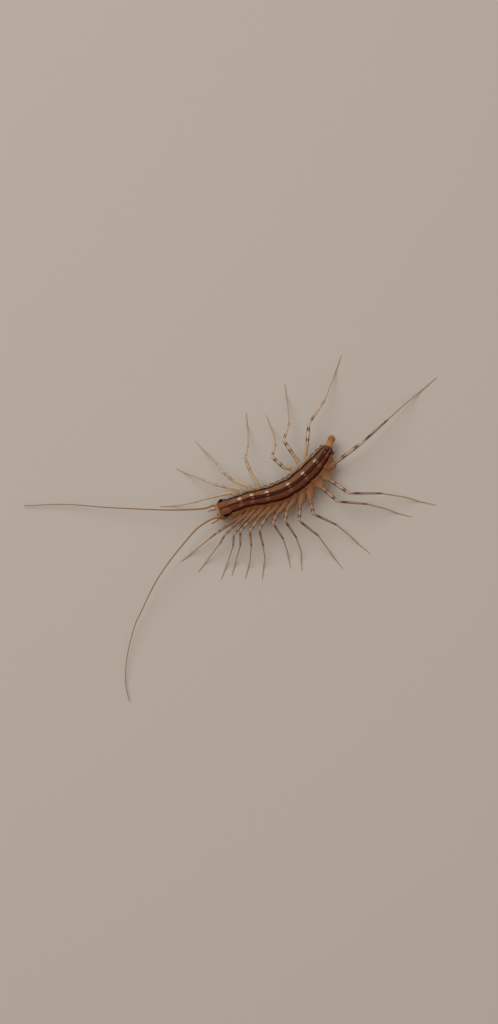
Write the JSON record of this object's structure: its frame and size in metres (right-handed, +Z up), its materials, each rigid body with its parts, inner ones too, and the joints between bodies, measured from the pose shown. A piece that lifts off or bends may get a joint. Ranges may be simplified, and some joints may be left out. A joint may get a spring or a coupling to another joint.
{
  "type": "house centipede",
  "caption": "Life-size still model of a house centipede, resting on its leg tips, with long thin antennae and thread-like banded legs.",
  "frame": {"origin": "middle of the bounding box on the floor under the leg tips", "axes": "+Z up from the floor, the head points towards -X and the animal's right side towards +Y"},
  "size_m": [0.0828, 0.0692, 0.0055],
  "materials": {
    "back_plate": "satin shell plate, dark brown with a near-black middle stripe and dark edges, two tan-brown bands",
    "leg": "satin, translucent cream to golden brown with purple-brown bands",
    "antenna": "satin golden brown, finely ringed",
    "eye": "glossy black compound eye",
    "mouthpart": "satin orange-brown",
    "trunk": "soft satin orange-tan flank and coxae",
    "head": "satin brown shell with a dark middle stripe",
    "tail": "satin orange-brown"
  },
  "bodies": {
    "root": {"antenna_left": "antenna", "antenna_right": "antenna", "eye_left": "eye", "eye_right": "eye", "forcipule_left": "mouthpart", "forcipule_right": "mouthpart", "head": "head", "leg_left_01": "leg", "leg_left_02": "leg", "leg_left_03": "leg", "leg_left_04": "leg", "leg_left_05": "leg", "leg_left_06": "leg", "leg_left_07": "leg", "leg_left_08": "leg", "leg_left_09": "leg", "leg_left_10": "leg", "leg_left_11": "leg", "leg_left_12": "leg", "leg_left_13": "leg", "leg_right_01": "leg", "leg_right_02": "leg", "leg_right_03": "leg", "leg_right_04": "leg", "leg_right_10": "leg", "leg_right_11": "leg", "leg_right_12": "leg", "palp_left": "mouthpart", "palp_right": "mouthpart", "plate_1": "back_plate", "plate_2": "back_plate", "plate_3": "back_plate", "plate_4": "back_plate", "plate_5": "back_plate", "plate_6": "back_plate", "plate_7": "back_plate", "plate_8": "back_plate", "tail": "tail", "trunk": "trunk"}
  },
  "joints": []
}
